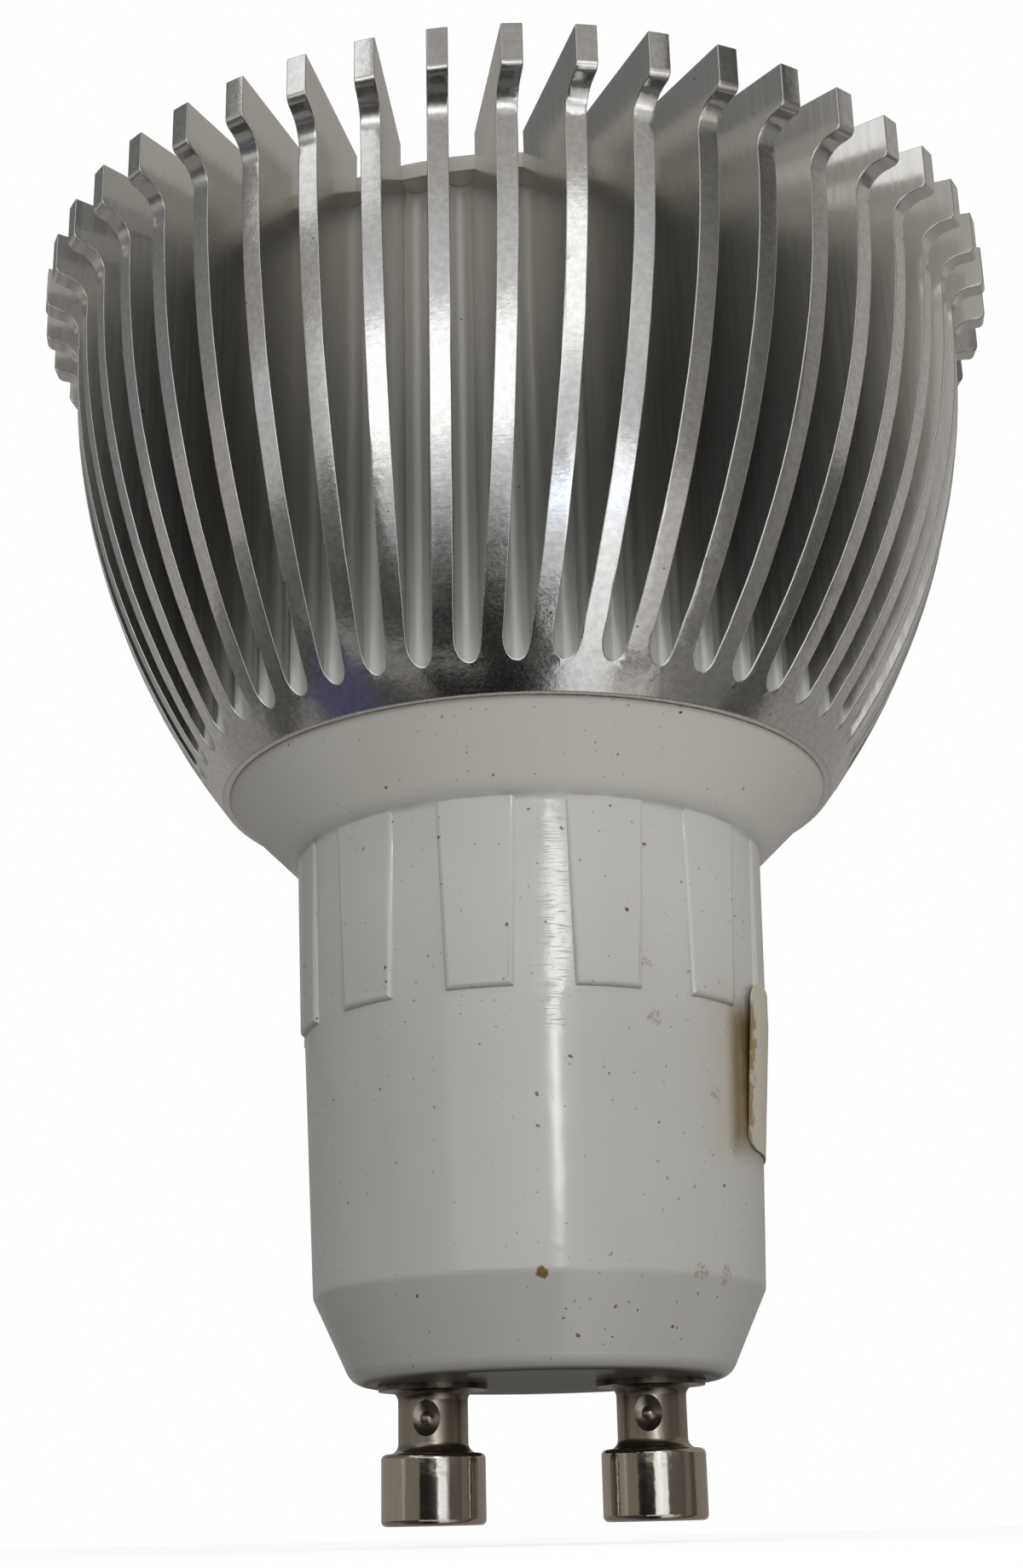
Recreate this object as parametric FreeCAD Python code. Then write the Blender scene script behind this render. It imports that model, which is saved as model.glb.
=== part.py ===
import FreeCAD, Part
import math
import os

V = FreeCAD.Vector
UP = V(0, 0, 1)

# Two-pin spotlight lamp in millimetres. The axis is Z: the pins point down, the light leaves upwards.
# The origin is the centre of the base's underside, and the pins stand along X.

# Contact pins
pin_spacing = 10.0
pin_head_r = 2.375
pin_head_height = 3.1
pin_neck_r = 1.6
pin_neck_height = 3.0
pin_flange_r = 2.5
pin_flange_height = 0.25
pin_seat_depth = 0.3
pin_swage_r = 1.95
pin_swage_height = 0.8
pin_edge_round = 0.25
pin_neck_round = 0.45
pin_bore_floor = 1.0
crimp_radius = 1.15
crimp_depth = 0.32
crimp_bump_r = 0.4
crimp_bump_rise = 0.22
crimp_drop = 1.5
crimp_turn_deg = -9.0

# White base, from its underside upwards
base_wall = 1.4
base_floor = 2.2
tube_low_r = 10.5
tube_growth = 0.86
bevel_width = 1.84
bevel_height = 3.9
tube_height = 20.7
flare_height = 3.5
foot_round = 1.0
bevel_round = 0.6
flare_round = 0.5
collar_round = 0.03
sleeve_wall = 1.2
panel_count = 12
panel_deg = 15.6
panel_raise = 0.24
panel_raise_top = 0.08
panel_height = 8.6
panel_lean_deg = 2.4
panel_round = 0.26
first_panel_deg = -12.0
rail_depth = 0.8
rail_cheek = 1.0
boss_r = 2.3
boss_sink = 1.0
boss_floor = 1.5

# Paper label on the side of the base
label_low = 9.8
label_height = 7.8
label_thick = 0.08
label_start_deg = 63.3
label_span_deg = 67.5
label_corner = 1.4

# Heat sink, from the rim inwards
rim_r = 25.0
lip_overhang = 1.7
lip_height = 2.24
lip_drop = 0.25
lip_round = 1.2
lip_edge_round = 0.4
fin_straight = 1.08
fin_depth = 7.27
fin_count = 48
fin_thick = 0.95
fin_offset = 4.25
first_fin_deg = 0.4
ring_depth = 0.85
collar_step = 0.29
bore_wall = 1.78
core_wall = 1.43
web_thick = 4.0
blind_floor = 0.5

# Light unit in the front of the heat sink
lens_count = 3
lens_body_wall = 0.3
lens_body_low_r = 2.8
lens_flange = 1.0
lens_cavity_r = 2.0
lens_cavity_gap = 0.6
holder_height = 8.8
holder_wall = 0.8
holder_low_r = 4.6
holder_floor = 1.0
holder_hole_r = 3.0
emitter_side = 3.45
emitter_height = 0.75
emitter_dome_r = 1.3
led_board_thick = 1.6
pad_thick = 0.3
plate_thick = 0.8
plate_sink = 1.07
plate_ledge = 1.37
plate_rim = 1.0

# Screws
screw_r = 1.0
screw_head_r = 1.8
screw_head_height = 0.9
screw_slot = 0.5
screw_slot_depth = 0.45
front_screw_inset = 2.2
head_room = 0.4

# Driver in the base
board_stand = 2.8
board_thick = 1.2
board_back = 1.8
board_wall_gap = 0.3
part_gap = 0.5
edge_gap = 0.6
pad_margin = 1.6
lead_room = 1.2
disc_thick = 0.5
choke_r = 2.5
choke_height = 5.2
choke_flange = 0.9
choke_waist = 0.7
fuse_r = 1.5
fuse_height = 5.6
fuse_lead_r = 0.3
row_gap = 0.25
cap_r = 3.15
cap_height = 6.6
cap_groove = 0.25
cap_groove_height = 1.2
cap_round = 0.4
core_width = 10.0
core_length = 10.0
core_thick = 4.6
core_leg = 1.3
core_centre = 2.4
coil_height = 7.0
coil_gap = 0.1
chip_length = 4.9
chip_width = 3.9
chip_height = 1.5
chip_leg = 0.5
chip_leg_count = 4
chip_leg_reach = 1.0
rectifier_length = 4.7
rectifier_height = 2.5
rectifier_leg_count = 2
diode_length = 4.3
diode_width = 2.6
diode_height = 2.2
diode_leg_count = 1

# Wires
mains_wire_r = 0.55
mains_pad_gap = 0.26
mains_pad_rise = 3.0
mains_bend = 0.7
dc_wire_r = 0.4
dc_wire_half = 0.75
dc_bend = 0.75
dc_loop_rise = 0.8
dc_pad_x = 1.6
dc_pad_margin = 0.8
bush_wall = 0.5
bush_flange = 0.6
bush_flange_height = 0.4
wire_hole_r = 2.2

# Clearances
slide_gap = 0.15
fit_gap = 0.05
paper_gap = 0.02

# Heights that follow
corner_z = bevel_height + tube_height
collar_z = corner_z + flare_height
board_low = base_floor + board_stand
row_z = board_low + edge_gap + choke_r
input_cap_z = row_z + choke_r + part_gap + cap_r
core_low = input_cap_z + cap_r + part_gap
output_cap_z = core_low + core_length + part_gap + cap_r
board_high = output_cap_z + cap_r + pad_margin
disc_low = board_high + lead_room
web_low = disc_low + disc_thick
web_high = web_low + web_thick
led_board_low = web_high + pad_thick
led_board_high = led_board_low + led_board_thick
holder_high = led_board_high + holder_height
plate_low = holder_high + lens_flange
plate_high = plate_low + plate_thick
sink_high = plate_high + plate_sink
lip_low = sink_high - lip_height
curve_high = lip_low - lip_drop - fin_straight

# Radii that follow
fin_r = rim_r - lip_overhang
slot_floor_r = fin_r - fin_depth
pocket_r = slot_floor_r - core_wall
plate_seat_r = slot_floor_r + plate_ledge
plate_r = plate_seat_r - slide_gap
sink_low_r = slot_floor_r - ring_depth
collar_r = sink_low_r - collar_step
bore_r = sink_low_r - bore_wall
sleeve_r = bore_r - slide_gap
sleeve_bore_r = sleeve_r - sleeve_wall
foot_r = tube_low_r - bevel_width
tube_high_r = tube_low_r + tube_growth
boss_y = sleeve_bore_r - boss_r + boss_sink

# Lenses stand in a ring and touch the pocket's wall and each other but for a gap
lens_share = math.sin(math.pi / lens_count)
holder_r = (pocket_r - slide_gap - slide_gap / lens_share) / (1 + 1 / lens_share)
lens_ring_r = pocket_r - slide_gap - holder_r
lens_turns = [360.0 * i / lens_count for i in range(lens_count)]
front_screw_ring_r = pocket_r - front_screw_inset
front_screw_turns = [turn + 180.0 / lens_count for turn in lens_turns]

# Driver board: the face that carries the tall parts is at board_front
board_front = -board_back + board_thick / 2
board_rear = board_front - board_thick


def tube_r(z):
    """Outside radius of the tapered base at a height above the bevel."""
    return tube_low_r + tube_growth * (z - bevel_height) / tube_height


def panel_r(z):
    """Radius of a panel's face, which stands out most at its lower end and fades towards the flare."""
    fade = 1 - (corner_z - z) / panel_height
    return tube_r(z) + panel_raise + (panel_raise_top - panel_raise) * fade


board_half = math.sqrt((tube_r(board_low) - base_wall - board_wall_gap) ** 2 - board_rear ** 2)
rail_in = board_half - rail_depth
mains_pad_x = rail_in - mains_pad_gap - mains_wire_r
row_half = mains_pad_x - mains_wire_r - row_gap - choke_r


def tangent_wire(corners, closed):
    """Straight runs through (point, radius) corners, with a tangent arc at each corner that has a radius."""
    count = len(corners)
    runs = []
    edges = []
    for i, (point, radius) in enumerate(corners):
        at_end = not closed and i in (0, count - 1)
        if at_end or radius == 0:
            runs.append((point, point))
            continue
        before = (corners[i - 1][0] - point).normalize()
        after = (corners[(i + 1) % count][0] - point).normalize()
        half = before.getAngle(after) / 2
        inward = (before + after).normalize()
        reach = radius / math.tan(half)
        middle = point + inward * (radius / math.sin(half) - radius)
        start = point + before * reach
        end = point + after * reach
        runs.append((start, end))
        edges.append((i, Part.Arc(start, middle, end).toShape()))
    arcs = dict(edges)
    path = []
    for i in range(count):
        if i in arcs:
            path.append(arcs[i])
        if i == count - 1 and not closed:
            break
        leave = runs[i][1]
        arrive = runs[(i + 1) % count][0]
        if leave.distanceToPoint(arrive) > 1e-6:
            path.append(Part.makeLine(leave, arrive))
    return Part.Wire(path)


def turned(outline, degrees=360.0):
    """Solid turned about Z from (radius, height) or (radius, height, corner rounding) points."""
    corners = [(V(p[0], 0, p[1]), p[2] if len(p) > 2 else 0) for p in outline]
    return Part.Face(tangent_wire(corners, True)).revolve(V(0, 0, 0), UP, degrees)


def rod(r, low, high, x=0.0, y=0.0):
    """Upright cylinder between two heights."""
    return Part.makeCylinder(r, high - low, V(x, y, low))


def outward_rod(r, start_y, length, x, z):
    """Cylinder that stands on the driver board's front, along +Y."""
    return Part.makeCylinder(r, length, V(x, start_y, z), V(0, 1, 0))


def block(x0, x1, y0, y1, z0, z1):
    """Box between two corners."""
    return Part.makeBox(x1 - x0, y1 - y0, z1 - z0, V(x0, y0, z0))


def round_about(shape, degrees):
    """Copy of a shape, turned about the lamp's axis."""
    return shape.copy().rotate(V(0, 0, 0), UP, degrees)


def ring_places(ring_r, turns):
    """Points on a ring about the axis, as (x, y)."""
    return [(ring_r * math.cos(math.radians(t)), ring_r * math.sin(math.radians(t))) for t in turns]


def wire_solid(corners, r):
    """Round wire along a path of (point, bend radius) corners."""
    path = tangent_wire(corners, False)
    start = path.Edges[0]
    heading = start.tangentAt(start.FirstParameter)
    section = Part.Wire(Part.makeCircle(r, corners[0][0], heading))
    return path.makePipeShell([section], True, True)


def screw(head_seat, tip, x, y):
    """Pan-head screw with a slot, standing along Z."""
    head_top = head_seat + screw_head_height
    body = rod(screw_r, tip, head_seat, x, y).fuse(rod(screw_head_r, head_seat, head_top, x, y))
    slot_low = head_top - screw_slot_depth
    half = screw_slot / 2
    slot = block(x - screw_head_r, x + screw_head_r, y - half, y + half, slot_low, head_top)
    return body.cut(slot).removeSplitter()


# Heat sink

def slot_root_r():
    """Radius of the round slot floor that touches both fins and reaches in to slot_floor_r."""
    spread = 1 / math.sin(math.pi / fin_count) ** 2
    aside = (fin_offset / math.cos(math.pi / fin_count)) ** 2
    a = spread - 1
    b = spread * fin_thick - 2 * slot_floor_r
    c = spread * fin_thick ** 2 / 4 + aside - slot_floor_r ** 2
    return (-b + math.sqrt(b * b - 4 * a * c)) / (2 * a)


def slot_cutter():
    """Space between two neighbouring fins: two walls that open outwards from a round floor."""
    half = math.pi / fin_count
    root = slot_root_r()
    centre = V((fin_thick / 2 + root) / math.sin(half), -fin_offset / math.cos(half), 0)
    reach = rim_r
    right_run = V(math.cos(half), -math.sin(half), 0)
    left_run = V(math.cos(half), math.sin(half), 0)
    right = centre - V(math.sin(half), math.cos(half), 0) * root
    left = centre + V(-math.sin(half), math.cos(half), 0) * root
    floor = Part.Arc(left, centre - V(root, 0, 0), right).toShape()
    right_end = right + right_run * reach
    left_end = left + left_run * reach
    mouth = Part.makeLine(right_end, left_end)
    sides = [Part.makeLine(right, right_end), mouth, Part.makeLine(left_end, left)]
    section = Part.Face(Part.Wire([floor] + sides))
    section.translate(V(0, 0, collar_z))
    return section.extrude(UP * (sink_high - collar_z))


def heat_sink():
    """Turned blank with an arched outside, a lip, a front pocket and a rear bore, slotted into swept fins."""
    rise = curve_high - collar_z
    widen = fin_r - sink_low_r
    curve_r = (rise ** 2 + widen ** 2) / (2 * widen)
    turn = math.asin(rise / curve_r) / 2
    bend = V(fin_r - curve_r * (1 - math.cos(turn)), 0, curve_high - curve_r * math.sin(turn))
    foot = V(sink_low_r, 0, collar_z)
    shoulder = V(fin_r, 0, curve_high)
    arch = Part.Arc(foot, bend, shoulder).toShape()
    inside = [
        (fin_r, curve_high), (fin_r, lip_low - lip_drop, lip_round), (rim_r, lip_low, lip_edge_round),
        (rim_r, sink_high), (plate_seat_r, sink_high), (plate_seat_r, plate_low), (pocket_r, plate_low),
        (pocket_r, web_high), (wire_hole_r, web_high), (wire_hole_r, web_low), (bore_r, web_low),
        (bore_r, collar_z), (sink_low_r, collar_z)]
    corners = [(V(p[0], 0, p[1]), p[2] if len(p) > 2 else 0) for p in inside]
    profile = Part.Wire([arch] + tangent_wire(corners, False).Edges)
    blank = Part.Face(profile).revolve(V(0, 0, 0), UP, 360)
    tip_lean = math.degrees(math.asin(fin_offset / rim_r))
    first_slot = first_fin_deg - 90 + tip_lean + 180.0 / fin_count
    cutter = slot_cutter()
    cuts = [round_about(cutter, first_slot + 360.0 * i / fin_count) for i in range(fin_count)]
    for y in (-boss_y, boss_y):
        cuts.append(rod(screw_r + fit_gap, web_low, web_high, 0, y))
        cuts.append(rod(screw_head_r + slide_gap, web_high - screw_head_height - head_room, web_high, 0, y))
    for x, y in ring_places(front_screw_ring_r, front_screw_turns):
        cuts.append(rod(screw_r + fit_gap, web_low + blind_floor, web_high, x, y))
    return blank.cut(cuts)


# Base

def base_panel():
    """One raised panel on the tube, widening upwards as it runs into the flare, centred on +X."""
    low = corner_z - panel_height
    high = corner_z + panel_raise_top
    back = tube_low_r - base_wall / 2
    face = [(back, low), (panel_r(low), low), (panel_r(high), high), (back, high)]
    band = round_about(turned(face, 2 * panel_deg), -panel_deg)
    half_low = panel_r(low) * math.sin(math.radians(panel_deg / 2))
    half_high = half_low + (high - low) * math.tan(math.radians(panel_lean_deg))
    corners = [(-half_low, low), (half_low, low), (half_high, high), (-half_high, high)]
    outline = tangent_wire([(V(0, y, z), 0) for y, z in corners], True)
    panel = band.common(Part.Face(outline).extrude(V(rim_r, 0, 0)))
    outer = tube_r(low)
    soft = []
    for edge in panel.Edges:
        radii = [math.hypot(v.X, v.Y) for v in edge.Vertexes]
        on_top = all(v.Z > corner_z for v in edge.Vertexes)
        if min(radii) > outer and not on_top:
            soft.append(edge)
    return panel.makeFillet(panel_round, soft)


def base_housing():
    """White base in one piece: foot, tube, collar and the sleeve that lines the heat sink."""
    slope = bevel_width / bevel_height
    inner_foot_r = foot_r + slope * base_floor - base_wall * math.hypot(1, slope)
    shell = turned([
        (0, 0), (foot_r, 0, foot_round), (tube_low_r, bevel_height, bevel_round),
        (tube_high_r, corner_z, flare_round), (collar_r, collar_z, collar_round), (sleeve_r, collar_z),
        (sleeve_r, disc_low), (sleeve_bore_r, disc_low), (sleeve_bore_r, collar_z),
        (tube_high_r - base_wall, corner_z), (tube_low_r - base_wall, bevel_height),
        (inner_foot_r, base_floor), (0, base_floor)])
    solid_tube = turned([
        (0, base_floor), (inner_foot_r + base_wall / 2, base_floor),
        (tube_low_r - base_wall / 2, bevel_height), (tube_high_r - base_wall / 2, corner_z), (0, corner_z)])
    panel = base_panel()
    panel_turns = [first_panel_deg - 90 + 360.0 * i / panel_count for i in range(panel_count)]
    added = [round_about(panel, turn) for turn in panel_turns]
    for side in (-1, 1):
        x0, x1 = sorted((side * rail_in, side * tube_high_r))
        rail = block(x0, x1, board_rear - rail_cheek, board_front + rail_cheek, base_floor, corner_z)
        added.append(rail.common(solid_tube))
        added.append(rod(boss_r, collar_z, disc_low, 0, side * boss_y))
    body = shell.fuse(added).removeSplitter()
    board_slot = board_half + fit_gap
    cuts = [block(-board_slot, board_slot, board_rear - fit_gap, board_front + fit_gap, board_low, corner_z)]
    for side in (-1, 1):
        cuts.append(rod(pin_neck_r + fit_gap, 0, base_floor, side * pin_spacing / 2))
        cuts.append(rod(pin_flange_r + fit_gap, 0, pin_seat_depth, side * pin_spacing / 2))
        cuts.append(rod(screw_r + fit_gap, collar_z + boss_floor, disc_low, 0, side * boss_y))
    return body.cut(cuts)


def contact_pin(side):
    """Hollow turned pin, swaged inside the base, with the crimp that grips its wire."""
    x = side * pin_spacing / 2
    head_low = -pin_neck_height - pin_head_height
    bore_low = -pin_neck_height + pin_bore_floor
    swage_high = base_floor + pin_swage_height
    bore = mains_wire_r + fit_gap
    pin = turned([
        (0, bore_low), (bore, bore_low), (bore, swage_high), (pin_swage_r, swage_high),
        (pin_swage_r, base_floor), (pin_neck_r, base_floor), (pin_neck_r, pin_seat_depth),
        (pin_flange_r, pin_seat_depth), (pin_flange_r, -pin_flange_height),
        (pin_neck_r, -pin_flange_height, pin_neck_round),
        (pin_neck_r, -pin_neck_height, pin_neck_round), (pin_head_r, -pin_neck_height, pin_edge_round),
        (pin_head_r, head_low, pin_edge_round), (0, head_low)])
    away = pin_neck_r - crimp_depth + crimp_radius
    punch = Part.makeSphere(crimp_radius, V(0, -away, -crimp_drop))
    bump_y = -pin_neck_r + crimp_depth - crimp_bump_rise + crimp_bump_r
    bump = Part.makeSphere(crimp_bump_r, V(0, bump_y, -crimp_drop))
    crimped = round_about(pin.cut(punch).fuse(bump), crimp_turn_deg)
    crimped.translate(V(x, 0, 0))
    return crimped.removeSplitter()


def label():
    """Sticker wrapped on the tube, lifted over the ends of the panels that it covers."""
    high = label_low + label_height
    panel_low = corner_z - panel_height
    under = [(tube_r(label_low), label_low), (panel_r(panel_low), panel_low), (panel_r(high), high)]
    inner = [(r + paper_gap, z) for r, z in under]
    outer = [(r + label_thick, z) for r, z in reversed(inner)]
    sheet = round_about(turned(inner + outer, label_span_deg), -label_span_deg / 2)
    half = outer[0][0] * math.sin(math.radians(label_span_deg / 2))
    corners = [(-half, label_low), (half, label_low), (half, high), (-half, high)]
    outline = tangent_wire([(V(0, y, z), label_corner) for y, z in corners], True)
    trimmed = sheet.common(Part.Face(outline).extrude(V(rim_r, 0, 0)))
    return round_about(trimmed, label_start_deg - 90 + label_span_deg / 2)


# Light unit

def lens(x, y):
    """Collimator: a cone under a flange, with a hollow over the light source."""
    low = led_board_high + holder_floor + slide_gap
    hollow_top = led_board_high + emitter_height + emitter_dome_r + lens_cavity_gap
    body = turned([
        (lens_cavity_r, low), (lens_body_low_r, low), (holder_r - holder_wall - lens_body_wall, holder_high),
        (holder_r, holder_high), (holder_r, plate_low), (0, plate_low), (0, hollow_top),
        (lens_cavity_r, hollow_top)])
    body.translate(V(x, y, 0))
    return body


def lens_holder(x, y):
    """Flared cup that stands on the light board and carries a lens on its rim."""
    floor_high = led_board_high + holder_floor
    cup = turned([
        (holder_hole_r, led_board_high), (holder_low_r, led_board_high), (holder_r, holder_high),
        (holder_r - holder_wall, holder_high), (holder_low_r - holder_wall, floor_high),
        (holder_hole_r, floor_high)])
    cup.translate(V(x, y, 0))
    return cup


def led_emitter(x, y):
    """Square light source with a domed cover."""
    half = emitter_side / 2
    top = led_board_high + emitter_height
    base = block(x - half, x + half, y - half, y + half, led_board_high, top)
    dome = Part.makeSphere(emitter_dome_r, V(x, y, top), UP, 0, 90, 360)
    return base.fuse(dome).removeSplitter()


def drilled_disc(r, low, high, hole_r, screw_ring):
    """Flat disc with a middle hole and a ring of screw holes."""
    disc = rod(r, low, high)
    cuts = [rod(screw_r + slide_gap, low, high, x, y) for x, y in screw_ring]
    if hole_r > 0:
        cuts.append(rod(hole_r, low, high))
    return disc.cut(cuts)


def front_plate():
    """Face plate with an opening for each lens."""
    screw_ring = ring_places(front_screw_ring_r, front_screw_turns)
    plate = drilled_disc(plate_r, plate_low, plate_high, 0, screw_ring)
    places = ring_places(lens_ring_r, lens_turns)
    return plate.cut([rod(holder_r - plate_rim, plate_low, plate_high, x, y) for x, y in places])


def front_screws():
    """Long screws through the plate and the light board into the web."""
    tip = web_low + blind_floor + slide_gap
    places = ring_places(front_screw_ring_r, front_screw_turns)
    return Part.makeCompound([screw(plate_high, tip, x, y) for x, y in places])


def base_screws():
    """Screws sunk in the web that draw the base's bosses up against it."""
    seat = web_high - screw_head_height - head_room
    tip = collar_z + boss_floor + slide_gap
    return Part.makeCompound([screw(seat, tip, 0, y) for y in (-boss_y, boss_y)])


def wire_bush():
    """Flanged sleeve that lines the web's wire hole."""
    outer = wire_hole_r - fit_gap
    flange_low = disc_low - bush_flange_height
    return turned([
        (outer - bush_wall, flange_low), (outer + bush_flange, flange_low), (outer + bush_flange, disc_low),
        (outer, disc_low), (outer, led_board_high), (outer - bush_wall, led_board_high)])


# Driver

def driver_board():
    """Circuit board that stands in the rails of the base."""
    return block(-board_half, board_half, board_rear, board_front, board_low, board_high)


def capacitor(z):
    """Can with a rolled groove near its open end and a rounded top."""
    groove_low = cap_groove_height
    can = turned([
        (0, 0), (cap_r, 0), (cap_r, groove_low, cap_groove), (cap_r - cap_groove, groove_low + cap_groove),
        (cap_r, groove_low + 2 * cap_groove, cap_groove), (cap_r, cap_height, cap_round), (0, cap_height)])
    can.rotate(V(0, 0, 0), V(1, 0, 0), -90)
    can.translate(V(0, board_front, z))
    return can


def choke():
    """Drum coil: two ferrite flanges with a winding between them."""
    flange_high = choke_height - choke_flange
    drum = turned([
        (0, 0), (choke_r, 0), (choke_r, choke_flange), (choke_r - choke_waist, choke_flange),
        (choke_r - choke_waist, flange_high), (choke_r, flange_high), (choke_r, choke_height),
        (0, choke_height)])
    drum.rotate(V(0, 0, 0), V(1, 0, 0), -90)
    drum.translate(V(-row_half, board_front, row_z))
    return drum


def fuse_resistor():
    """Standing resistor whose second lead comes back down beside it."""
    top = board_front + fuse_height
    lead_x = row_half + fuse_r + 2 * fuse_lead_r
    body = outward_rod(fuse_r, board_front, fuse_height, row_half, row_z)
    bridge_y = top + fuse_lead_r
    lead = wire_solid([
        (V(row_half, top, row_z), 0), (V(row_half, bridge_y + fuse_lead_r, row_z), fuse_lead_r * 2),
        (V(lead_x, bridge_y + fuse_lead_r, row_z), fuse_lead_r * 2), (V(lead_x, board_front, row_z), 0)],
        fuse_lead_r)
    return body.fuse(lead).removeSplitter()


def transformer_core():
    """Ferrite frame with a middle leg through the coil."""
    middle = board_front + coil_height / 2
    y0 = middle - core_thick / 2
    y1 = middle + core_thick / 2
    frame = block(-core_width / 2, core_width / 2, y0, y1, core_low, core_low + core_length)
    windows = []
    for side in (-1, 1):
        x0, x1 = sorted((side * core_centre / 2, side * (core_width / 2 - core_leg)))
        windows.append(block(x0, x1, y0, y1, core_low + core_leg, core_low + core_length - core_leg))
    return frame.cut(windows)


def transformer_coil():
    """Taped winding on the core's middle leg, standing on the board."""
    half = core_width / 2 - core_leg - coil_gap
    low = core_low + core_leg + coil_gap
    high = core_low + core_length - core_leg - coil_gap
    middle = board_front + coil_height / 2
    hole_x = core_centre / 2 + fit_gap
    hole_y = core_thick / 2 + fit_gap
    winding = block(-half, half, board_front, board_front + coil_height, low, high)
    return winding.cut(block(-hole_x, hole_x, middle - hole_y, middle + hole_y, low, high))


def chip(length, width, height, legs, z):
    """Flat package with legs on two sides, on the rear of the driver board."""
    lift = chip_leg / 2
    face_y = board_rear - lift
    low, high = z - width / 2, z + width / 2
    body = block(-length / 2, length / 2, face_y - height, face_y, low, high)
    reach = width / 2 + chip_leg_reach
    pitch = length / legs
    feet = []
    for i in range(legs):
        x = (i + 0.5) * pitch - length / 2
        foot_low = face_y - height / 2
        feet.append(block(x - chip_leg / 2, x + chip_leg / 2, foot_low, board_rear, z - reach, z + reach))
    hollow = block(-length / 2, length / 2, face_y, board_rear, low, high)
    return body.fuse(feet).cut(hollow).removeSplitter()


# Wires

def mains_wire(side):
    """Lead from a pin's bore to its pad on the front of the driver board."""
    x = side * pin_spacing / 2
    pad_x = side * mains_pad_x
    bore_low = -pin_neck_height + pin_bore_floor + fit_gap
    swage_high = base_floor + pin_swage_height
    clear_y = board_front + 2 * mains_bend + mains_wire_r
    pad_z = board_low + mains_pad_rise
    return wire_solid([
        (V(x, 0, bore_low), 0), (V(x, 0, swage_high + mains_bend), mains_bend),
        (V(pad_x, clear_y, board_low + mains_bend), mains_bend), (V(pad_x, clear_y, pad_z), mains_bend),
        (V(pad_x, board_front, pad_z), 0)], mains_wire_r)


def dc_wire(side, pad_turn):
    """Lead from the driver board through the bush, over to its pad on the light board between two lenses."""
    x = side * dc_wire_half
    pad_z = board_high - pad_margin / 2
    over = led_board_high + dc_loop_rise + dc_bend
    [(pad_x, pad_y)] = ring_places(wire_hole_r + dc_pad_margin, [pad_turn])
    return wire_solid([
        (V(side * dc_pad_x, board_front, pad_z), 0), (V(side * dc_pad_x, 0, pad_z), dc_bend),
        (V(x, 0, disc_low), dc_bend), (V(x, 0, over), dc_bend), (V(pad_x, pad_y, over), dc_bend),
        (V(pad_x, pad_y, led_board_high), 0)], dc_wire_r)


light_screw_ring = ring_places(front_screw_ring_r, front_screw_turns)
base_screw_ring = [(0, -boss_y), (0, boss_y)]
board_r = pocket_r - slide_gap
chip_z = core_low + core_length / 2

pieces = {
    "heat_sink": heat_sink(),
    "base_housing": base_housing(),
    "contact_pin_left": contact_pin(-1),
    "contact_pin_right": contact_pin(1),
    "label": label(),
    "front_plate": front_plate(),
    "front_screws": front_screws(),
    "base_screws": base_screws(),
    "thermal_pad": drilled_disc(board_r, web_high, led_board_low, wire_hole_r, light_screw_ring),
    "led_board": drilled_disc(board_r, led_board_low, led_board_high, wire_hole_r, light_screw_ring),
    "insulating_disc": drilled_disc(sleeve_r, disc_low, web_low, wire_hole_r, base_screw_ring),
    "wire_bush": wire_bush(),
    "driver_board": driver_board(),
    "input_capacitor": capacitor(input_cap_z),
    "output_capacitor": capacitor(output_cap_z),
    "choke": choke(),
    "fuse_resistor": fuse_resistor(),
    "transformer_core": transformer_core(),
    "transformer_coil": transformer_coil(),
    "bridge_rectifier": chip(
        rectifier_length, chip_width, rectifier_height, rectifier_leg_count, input_cap_z),
    "driver_chip": chip(chip_length, chip_width, chip_height, chip_leg_count, chip_z),
    "output_diode": chip(diode_length, diode_width, diode_height, diode_leg_count, output_cap_z),
    "mains_wire_left": mains_wire(-1),
    "mains_wire_right": mains_wire(1),
    "dc_wire_positive": dc_wire(1, front_screw_turns[0]),
    "dc_wire_negative": dc_wire(-1, front_screw_turns[1]),
}
for number, (x, y) in enumerate(ring_places(lens_ring_r, lens_turns), 1):
    pieces["lens_%d" % number] = lens(x, y)
    pieces["lens_holder_%d" % number] = lens_holder(x, y)
    pieces["led_emitter_%d" % number] = led_emitter(x, y)

os.makedirs("parts", exist_ok=True)
for name, shape in pieces.items():
    shape.exportStep("parts/%s.step" % name)
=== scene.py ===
import math

import bmesh
import bpy
from mathutils import Matrix, Vector, noise

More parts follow.
